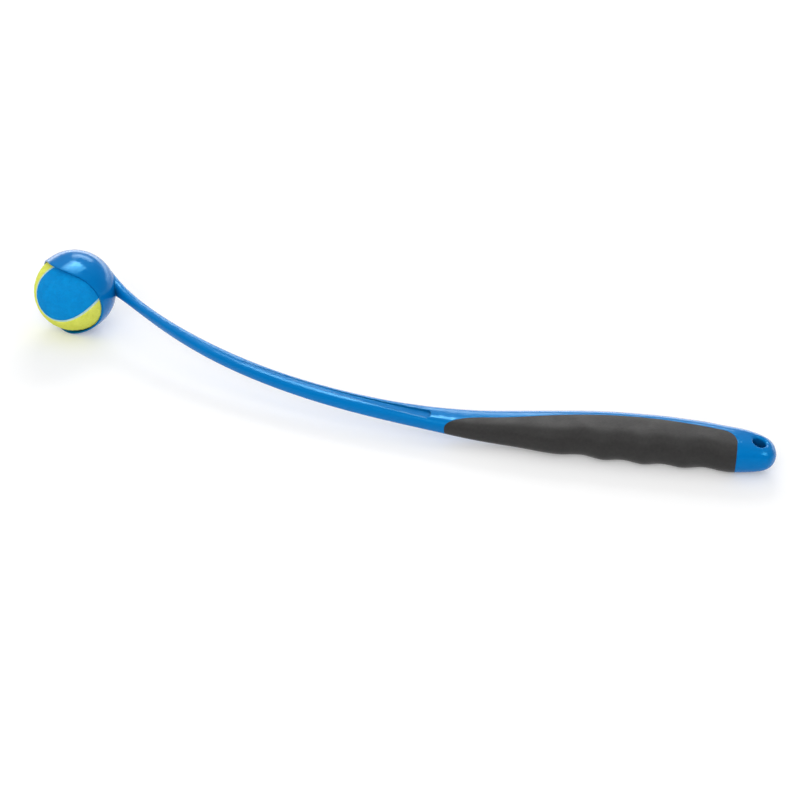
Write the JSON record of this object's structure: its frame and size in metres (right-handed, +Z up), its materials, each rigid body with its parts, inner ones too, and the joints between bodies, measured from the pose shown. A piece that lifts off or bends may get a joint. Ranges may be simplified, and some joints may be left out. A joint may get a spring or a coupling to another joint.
{
  "type": "ball launcher",
  "caption": "Bowed dog ball launcher with a finger-grooved soft grip, a hang hole in its end and a lobed cup that holds a felt-covered ball and lets it go when swung.",
  "frame": {"origin": "centre of the base of the bounding box, on the table that the launcher lies on", "axes": "+X from the cup towards the handle's end, +Y towards the side that the shaft bends to, +Z up from the table"},
  "size_m": [0.5934, 0.2536, 0.0702],
  "materials": {
    "blue_plastic": "glossy moulded plastic",
    "soft_grip": "matte soft-touch elastomer",
    "blue_felt": "woven felt",
    "yellow_felt": "woven felt",
    "seam_rubber": "pale vulcanised rubber",
    "ball_rubber": "plain rubber"
  },
  "bodies": {
    "launcher": {"arm": "blue_plastic", "grip": "soft_grip"},
    "ball": {"ball_felt_blue": "blue_felt", "ball_felt_yellow": "yellow_felt", "ball_seam": "seam_rubber", "ball_rubber_left": "ball_rubber", "ball_rubber_right": "ball_rubber"}
  },
  "joints": [
    {"name": "ball_release", "type": "slide", "parent": "launcher", "child": "ball", "axis": [-0.6084, -0.7808, -0.1422], "range_m": [0, 0.06]}
  ]
}
